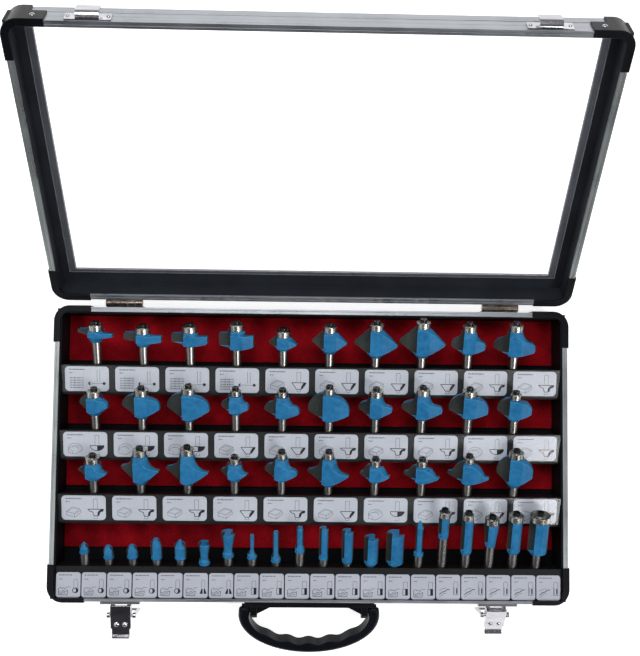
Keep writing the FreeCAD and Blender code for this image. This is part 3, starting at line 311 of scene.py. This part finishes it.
def draw_table(place):
    """A table of five ruled lines in three columns."""
    for y in (9.8, 12.0, 14.2, 16.4, 18.6):
        dashes(grey_print, place, 4.8, 15.4, y, 0.7)
    for x in (4.4, 8.2, 12.0, 15.8):
        stroke(grey_print, place, [(x, 9.2), (x, 19.8)], grid_line)


def draw_slot_cutter(place):
    """A shank on a disc seen edge on, with its two teeth filled."""
    for x in (28.0, 30.4):
        stroke(grey_print, place, [(x, 3.2), (x, 13.6)])
    stroke(grey_print, place, [(22.0, 15.1), (33.4, 15.1)])
    fill(black_print, place, arc(21.6, 15.1, 1.5, 1.5, 60, 300) + [(21.4, 15.1)])
    fill(black_print, place, arc(34.0, 15.1, 1.35, 1.35, 0, 337.5, 15))


def draw_block(place):
    """A block of wood with a straight moulded edge."""
    outline = [(4.2, 14.2), (9.6, 10.2), (16.0, 12.2), (16.8, 15.2), (11.4, 19.6), (4.4, 17.6)]
    stroke(grey_print, place, outline + outline[:1])
    stroke(grey_print, place, [(4.4, 14.4), (10.8, 16.2), (16.2, 12.4)])
    stroke(grey_print, place, [(10.8, 16.2), (11.4, 19.4)])
    stroke(grey_print, place, [(5.8, 13.8), (10.4, 11.2), (15.0, 12.6)], hair_line)
    stroke(grey_print, place, [(12.2, 16.6), (16.4, 13.6)], hair_line)


def draw_curved_block(place):
    """A block of wood with a curved moulded edge."""
    outline = arc(10.2, 14.8, 6.2, 4.6, 160, 385) + [(10.4, 20.0), (4.2, 18.6), (4.3, 13.2)]
    stroke(grey_print, place, outline)
    stroke(grey_print, place, arc(9.0, 16.0, 4.2, 3.2, 180, 350))
    stroke(grey_print, place, arc(11.4, 14.6, 3.6, 2.6, 190, 340), hair_line)
    stroke(grey_print, place, [(4.6, 15.4), (7.8, 16.8), (7.8, 19.2)], hair_line)


def draw_shank(place):
    """The shank above a bit's wings, and the bearing below them."""
    for x in (27.6, 31.0):
        stroke(grey_print, place, [(x, 3.0), (x, 11.6)])
    stroke(grey_print, place, [(27.6, 3.0), (31.0, 3.0)])
    stroke(grey_print, place, [(27.9, 18.6), (27.9, 20.6), (30.9, 20.6), (30.9, 18.6)])


def draw_rounded_wings(place):
    """A bit with rounded wings, the right one filled."""
    draw_shank(place)
    stroke(black_print, place, [(23.2, 12.2), (35.6, 12.2)], bold_line)
    stroke(black_print, place, arc(29.4, 12.2, 6.2, 4.6, 90, 180), bold_line)
    fill(black_print, place, [(29.4, 12.0), (35.8, 12.0)] + arc(29.4, 12.2, 6.3, 4.8, 0, 90))


def draw_tapered_wings(place):
    """A bit that narrows to its end, the right wing filled."""
    draw_shank(place)
    stroke(black_print, place, [(23.2, 12.4), (35.8, 12.4)], bold_line)
    stroke(black_print, place, [(23.2, 12.4), (27.6, 18.4), (31.2, 18.4)], bold_line)
    fill(black_print, place, [(31.0, 18.6), (31.6, 15.6), (33.6, 12.6), (36.2, 12.2), (35.4, 14.2),
                              (32.6, 18.0)])


def draw_ogee_wings(place):
    """A bit with S-shaped wings, the right one filled."""
    draw_shank(place)
    stroke(black_print, place, [(22.6, 12.2), (36.2, 12.2)], bold_line)
    stroke(black_print, place, [(22.6, 12.2), (24.4, 14.0), (27.0, 14.8), (27.8, 18.2), (31.2, 18.2)],
           bold_line)
    fill(black_print, place, [(30.8, 18.4), (31.2, 14.8), (33.2, 12.8), (36.6, 12.0), (36.0, 14.2),
                              (33.6, 14.8), (32.4, 18.2)])


def draw_card(place, ruled_lines, draw_left, draw_right):
    """One card: its ruled lines, then what stands at its left and at its right."""
    for line in ruled_lines:
        dashes(grey_print, place, *line)
    draw_left(place)
    draw_right(place)


wide_lines = ((3.6, 17.5, 2.2, 0.9), (3.8, 7.2, 5.2, 0.8))
slot = (draw_table, draw_slot_cutter)
taper = (draw_block, draw_tapered_wings)
ogee = (draw_block, draw_ogee_wings)
bowl = (draw_curved_block, draw_rounded_wings)
wide_cards = {"bit_rail_1": [slot] * 4 + [taper] * 4 + [ogee] * 2,
              "bit_rail_2": [bowl] * 3 + [taper] * 2 + [ogee] * 3 + [bowl, ogee],
              "bit_rail_3": [ogee] * 3 + [taper, ogee, taper, bowl, ogee, taper, ogee]}
for rail, drawings in wide_cards.items():
    for left, drawing in zip(card_lefts("wide_label_cards", rail, len(drawings)), drawings):
        draw_card(on_wide_card(rail, left), wide_lines, *drawing)

# ---- Narrow cards ----------------------------------------------------------------------
# Twenty smaller cards lie flat on the front rail without a cover. They are given a greyer
# colour than the wide ones as painted shade. Each is printed with two ruled lines, a piece
# of wood and its bit.

# The narrow cards' greyer colour is painted shade.
narrow_card_painted_shade = finish("card_white_painted_shade", (0.39, 0.41, 0.47), (0.46, 0.48, 0.545), **card_paper)
dress(narrow_card_painted_shade, "narrow_label_cards")

slim_line = 0.34
edge_line = 0.4
outer_line = 0.5


def on_narrow_card(left):
    """A function that puts a point, measured from a card's left and rear edges, on its face."""
    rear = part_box("narrow_label_cards")[1].y / millimetre
    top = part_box("narrow_label_cards")[1].z / millimetre

    def place(across, down):
        return ((left + across) * millimetre, (rear - down) * millimetre, (top + print_lift) * millimetre)
    return place


def draw_grooved_block(place):
    """A block of wood with grooves across its top."""
    stroke(grey_print, place, [(2.2, 14.0), (4.2, 12.6), (5.0, 14.0), (6.8, 13.0), (7.6, 14.6),
                               (9.6, 12.4), (12.4, 12.6)], edge_line)
    stroke(grey_print, place, [(2.2, 14.0), (2.4, 19.2), (9.8, 19.2), (10.2, 15.2), (7.6, 16.6),
                               (6.4, 15.4), (4.8, 17.2), (2.6, 16.6)], outer_line)
    stroke(grey_print, place, [(3.0, 18.2), (5.4, 18.4), (6.6, 17.2), (9.0, 18.0)], edge_line)


def draw_wavy_edge(place):
    """The wavy edge of a board."""
    stroke(black_print, place, [(2.8, 17.0), (5.2, 14.8), (7.4, 14.4), (9.6, 12.6), (11.8, 12.4)],
           bold_line)
    stroke(grey_print, place, [(2.6, 18.6), (4.2, 18.4), (6.2, 16.2), (9.0, 15.6)])
    stroke(grey_print, place, [(2.6, 13.4), (5.6, 11.8), (8.8, 11.4)])


def draw_round_bit(place):
    """A shank above a round head, the right half filled."""
    shank = [(15.2, 13.4), (15.2, 7.2)] + arc(16.9, 7.2, 1.7, 1.4, 180, 360) + [(18.6, 13.4)]
    stroke(grey_print, place, shank)
    stroke(black_print, place, arc(16.6, 15.4, 2.4, 2.1, 60, 300), bold_line)
    fill(black_print, place, arc(16.6, 15.4, 2.7, 2.3, -90, 60) + [(16.6, 17.0), (17.4, 15.4), (16.8, 14.0)])


def draw_dovetail_bit(place):
    """A shank above a head that widens to its end."""
    shank = [(15.4, 12.6), (15.4, 7.0)] + arc(16.9, 7.0, 1.5, 1.2, 180, 360) + [(18.4, 12.6)]
    stroke(grey_print, place, shank)
    fill(black_print, place, [(15.6, 13.2), (16.5, 13.2), (16.5, 17.6), (13.9, 17.6)])
    fill(black_print, place, [(17.5, 13.2), (18.4, 13.2), (20.0, 17.6), (17.5, 17.6)])


def draw_straight_bit(place):
    """A shank above a square head, the right half filled."""
    stroke(grey_print, place, [(15.2, 11.8), (15.2, 6.4), (18.6, 6.4), (18.6, 11.8)])
    stroke(black_print, place, [(17.0, 12.4), (14.7, 12.4), (14.7, 17.8), (17.0, 17.8)], edge_line)
    fill(black_print, place, [(16.8, 12.2), (19.2, 12.2), (19.2, 18.0), (16.8, 18.0)])


def draw_trimming_bit(place):
    """A long straight bit with a rounded end, the right flute filled."""
    outline = [(15.0, 17.2), (15.0, 7.2)] + arc(16.9, 7.2, 1.9, 1.4, 180, 360) + [(18.8, 17.2)]
    stroke(grey_print, place, outline + outline[:1])
    stroke(black_print, place, [(15.6, 10.6), (15.6, 16.6)], slim_line)
    fill(black_print, place, [(17.4, 11.4), (18.2, 11.4), (18.4, 13.4), (18.2, 16.4), (17.4, 16.4)])


narrow_lines = ((2.4, 13.6, 1.9, 0.75), (2.6, 5.8, 5.4, 0.7))
round_nose = (draw_grooved_block, draw_round_bit)
dovetail = (draw_grooved_block, draw_dovetail_bit)
straight = (draw_grooved_block, draw_straight_bit)
trimming = (draw_wavy_edge, draw_trimming_bit)
narrow_cards = [round_nose] * 5 + [dovetail] * 2 + [straight] * 8 + [trimming] * 5
narrow_lefts = card_lefts("narrow_label_cards", "bit_rail_4", len(narrow_cards))
for left, drawing in zip(narrow_lefts, narrow_cards):
    draw_card(on_narrow_card(left), narrow_lines, *drawing)

# ---- Print on the cards ----------------------------------------------------------------
# All cards are printed with the same two inks, grey for the fine lines and black for the
# profiles. Each ink is a flat film that lies on the cards' faces.


def printed(name, ink, material):
    """Make a piece of all that one ink has printed, and fix it to the tray."""
    mesh = bpy.data.meshes.new(name)
    mesh.from_pydata(ink["points"], [], ink["faces"])
    mesh.materials.append(material)
    piece = bpy.data.objects.new(name, mesh)
    bpy.context.scene.collection.objects.link(piece)
    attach(piece, "base")


grey_ink = finish("grey_ink", (0.075, 0.075, 0.105), (0.13, 0.13, 0.17), rough=(0.5, 0.7), scale=1500.0,
                  bump=0.05, shine=0.2)
black_ink = finish("black_ink", (0.006, 0.006, 0.010), (0.020, 0.020, 0.028), rough=(0.4, 0.6),
                   scale=1500.0, bump=0.05, shine=0.2)
printed("card_fine_lines", grey_print, grey_ink)
printed("card_bit_profiles", black_print, black_ink)

# ---- Card covers -----------------------------------------------------------------------
# A strip of clear plastic lies over each row of wide cards, from end to end of its rail.
# It is a little hazy from handling.

cover = clear("clear_cover", tint=(0.985, 0.99, 0.99), gloss_rough=0.26, most_haze=0.006,
              streak=(1, 6, 6), ior=1.7)
dress(cover, "label_covers")

# ---- Router bits: shanks ---------------------------------------------------------------
# Round steel shanks, ground bright. Each stands in a slanting hole of its rail and is one
# with the body above it.


def of_each_row(kind):
    """The names of the pieces of one kind in the four rows of bits."""
    return ["row_%d_%s" % (row, kind) for row in (1, 2, 3, 4)]


shank_steel = finish("ground_steel", (0.34, 0.33, 0.31), (0.50, 0.48, 0.46), rough=(0.26, 0.32),
                     scale=500.0, bump=0.01, metallic=1.0)
dress(shank_steel, *of_each_row("shanks"))

# ---- Router bits: bodies ---------------------------------------------------------------
# Steel bodies, machined to two wings, with a smooth blue coating. Their corners are given a
# lighter blue as a painted highlight.

blue_coat = finish("blue_coating", (0.013, 0.122, 0.280), (0.026, 0.190, 0.400), rough=(0.36, 0.48),
                   scale=260.0, broad_scale=70.0, bump=0.04, bevel=0.0010, shine=0.16)
# The lighter blue along the bodies' edges is a painted highlight.
paint_edge_highlight(blue_coat, (0.055, 0.34, 0.62), 0.85)
dress(blue_coat, *of_each_row("cutter_bodies"))

# ---- Router bits: carbide tips ---------------------------------------------------------
# Two ground carbide plates are brazed to each body, one to a wing. They are dark grey with
# a dull shine, and a paler colour is painted along their edges as a painted highlight.

carbide = finish("carbide", (0.022, 0.027, 0.026), (0.052, 0.060, 0.057), rough=(0.32, 0.48),
                 scale=900.0, bump=0.08, bevel=0.0002, metallic=0.3, shine=0.4)
# The pale grey along the tips' edges is a painted highlight.
paint_edge_highlight(carbide, (0.34, 0.35, 0.34), 0.5)
dress(carbide, *of_each_row("carbide_tips"))

# ---- Router bits: guide bearings -------------------------------------------------------
# Small ball bearings in polished steel at the ends of the guided bits. They roll along the
# edge that the bit follows.

bearing_steel = finish("bearing_steel", (0.42, 0.42, 0.38), (0.62, 0.61, 0.56), rough=(0.22, 0.34),
                       scale=800.0, bump=0.04, bevel=0.0005, metallic=1.0)
dress(bearing_steel, *of_each_row("bearings"))

# ---- Router bits: bearing screws -------------------------------------------------------
# A blackened steel socket screw goes through each bearing into the end of its bit, and
# holds it there.

screw_black = finish("black_oxide", (0.0020, 0.0020, 0.0030), (0.0070, 0.0070, 0.0090),
                     rough=(0.22, 0.34), scale=900.0, bump=0.06, bevel=0.0003, shine=0.4)
dress(screw_black, *of_each_row("bearing_screws"))

# ---- Rivets and latches ----------------------------------------------------------------
# Pressed steel latches with a bright, slightly uneven nickel plate. Domed rivets of the
# same finish fix them and the corner caps to the profiles.

nickel = finish("nickel_plate", (0.40, 0.40, 0.42), (0.60, 0.60, 0.63), rough=(0.10, 0.18), scale=110.0,
                stretch=(0.4, 1, 1), bump=0.16, grain=0.0014, bevel=0.0006, metallic=1.0)
dress(nickel, "base_rivets", "lid_rivets", "latch_plates", "latch_pins", "latch_keepers",
      "latch_lever_left", "latch_lever_right", "latch_loop_left", "latch_loop_right")

# ---- Hinges ----------------------------------------------------------------------------
# Two leaf hinges of plated steel join the tray and the lid at the rear. Their plate has
# dulled to a brown grey.

aged_nickel = finish("aged_nickel_plate", (0.075, 0.062, 0.052), (0.26, 0.21, 0.17), rough=(0.16, 0.28),
                     scale=350.0, bump=0.12, grain=0.0010, bevel=0.0006, metallic=1.0)
dress(aged_nickel, "hinge_base_leaves", "hinge_lid_leaves", "hinge_pins")

# ---- Handle ----------------------------------------------------------------------------
# A black moulded bail with waves for the fingers. It swings on two lugs of a plate that is
# fixed to the front of the tray.

handle_plastic = finish("handle_plastic", (0.0016, 0.0020, 0.0036), (0.0046, 0.0054, 0.0088),
                        rough=(0.28, 0.40), scale=1100.0, bump=0.06, bevel=0.0009, shine=0.14)
# A paler colour painted along the handle's edges as a painted highlight.
paint_edge_highlight(handle_plastic, (0.022, 0.026, 0.036), 0.7)
dress(handle_plastic, "handle_plate", "handle_grip")

# ---- Stage: floor ----------------------------------------------------------------------
# A matt pale floor just under the case. It glows a little where it is seen, directly or in
# a gloss, so that it looks white without throwing more light on the case.

floor_reach = 8.0
floor_height = -0.0008
floor_glow = 0.72

floor_mesh = bpy.data.meshes.new("stage_floor")
floor_corners = [(x * floor_reach, y * floor_reach, floor_height)
                 for x, y in ((-1, -1), (1, -1), (1, 1), (-1, 1))]
floor_mesh.from_pydata(floor_corners, [], [(0, 1, 2, 3)])
floor = bpy.data.objects.new("stage_floor", floor_mesh)
bpy.context.scene.collection.objects.link(floor)
floor_paint = bpy.data.materials.new("stage_white")
floor_paint.use_nodes = True
floor_tree = floor_paint.node_tree
floor_shader = floor_tree.nodes["Principled BSDF"]
floor_shader.inputs["Base Color"].default_value = (0.80, 0.80, 0.80, 1)
floor_shader.inputs["Roughness"].default_value = 0.9
floor_shader.inputs["Specular IOR Level"].default_value = 0.0
path = put(floor_tree, "LightPath")
seen = path.outputs["Is Camera Ray"]
for also in ("Is Glossy Ray", "Is Transmission Ray"):
    seen = put(floor_tree, "Math", {0: seen, 1: path.outputs[also]}, operation="MAXIMUM").outputs[0]
glow_strength = put(floor_tree, "Math", {0: seen, 1: floor_glow}, operation="MULTIPLY").outputs[0]
glow = put(floor_tree, "Emission", {"Color": (1, 1, 1, 1), "Strength": glow_strength}).outputs[0]
lit_floor = put(floor_tree, "AddShader", {0: floor_shader.outputs[0], 1: glow}).outputs[0]
floor_tree.links.new(lit_floor, floor_tree.nodes["Material Output"].inputs["Surface"])
floor_mesh.materials.append(floor_paint)

# ---- Stage: sky and lamps --------------------------------------------------------------
# Soft studio light: a dim sky, darkest high toward the front of the case and pale along
# the horizon, and three large lamps behind, at the front right and at the left.

sky_darkest_way = (-0.20, -0.92, 0.34)
sky_pale = (0.30, 0.30, 0.31, 1)
sky_pale_end = 0.30
sky_dark = (0.05, 0.05, 0.055, 1)
sky_dark_start = 0.85
horizon_white = (0.82, 0.82, 0.83, 1)
horizon_height = 0.04
horizon_fade_height = 0.20

world = bpy.data.worlds.new("studio")
bpy.context.scene.world = world
world.use_nodes = True
sky_tree = world.node_tree
direction = put(sky_tree, "TexCoord").outputs["Generated"]
ways = {0: direction, 1: sky_darkest_way}
toward_dark = put(sky_tree, "VectorMath", ways, operation="DOT_PRODUCT").outputs["Value"]
sky = put(sky_tree, "ValToRGB", {"Fac": toward_dark})
pale_end, dark_start = sky.color_ramp.elements
pale_end.position = sky_pale_end
pale_end.color = sky_pale
dark_start.position = sky_dark_start
dark_start.color = sky_dark
height = put(sky_tree, "SeparateXYZ", {0: direction}).outputs["Z"]
near_horizon = spread(sky_tree, height, horizon_height, horizon_fade_height, 1.0, 0.0)
parts_of_sky = {"Fac": near_horizon, "Color1": sky.outputs["Color"], "Color2": horizon_white}
whole_sky = put(sky_tree, "MixRGB", parts_of_sky).outputs["Color"]
background = sky_tree.nodes["Background"]
sky_tree.links.new(whole_sky, background.inputs["Color"])
background.inputs["Strength"].default_value = 1.0


def add_lamp(name, place, width, watts):
    """A square lamp that faces the middle of the case."""
    data = bpy.data.lights.new(name, "AREA")
    data.size = width
    data.energy = watts
    lamp = bpy.data.objects.new(name, data)
    lamp.location = place
    lamp.rotation_euler = (-Vector(place)).to_track_quat("-Z", "Y").to_euler()
    bpy.context.scene.collection.objects.link(lamp)


add_lamp("lamp_overhead", (-0.05, 0.75, 1.6), width=0.9, watts=14.0)
add_lamp("lamp_front_right", (0.95, -0.95, 1.45), width=0.6, watts=13.0)
add_lamp("lamp_left", (-1.15, -0.25, 1.3), width=1.2, watts=8.0)

# ---- Camera ----------------------------------------------------------------------------
# The camera hangs over the rear half of the tray and looks almost straight down, so that
# it takes in the tray and the open lid.

picture_width = 640
focal_length_in_pixels = 968.286
film_width = 36.0
camera_place = (-0.013672, 0.059854, 0.895174)
camera_turns = (("Z", -0.736), ("Y", 1.347), ("X", -3.445))

camera_data = bpy.data.cameras.new("camera")
camera_data.sensor_fit = "HORIZONTAL"
camera_data.sensor_width = film_width
camera_data.lens = focal_length_in_pixels / picture_width * film_width
camera = bpy.data.objects.new("camera", camera_data)
turn = Matrix.Identity(3)
for axis, degrees in camera_turns:
    turn = turn @ Matrix.Rotation(math.radians(degrees), 3, axis)
camera.matrix_world = Matrix.Translation(camera_place) @ turn.transposed().to_4x4()
bpy.context.scene.collection.objects.link(camera)
bpy.context.scene.camera = camera
bpy.context.scene.view_settings.view_transform = "Standard"
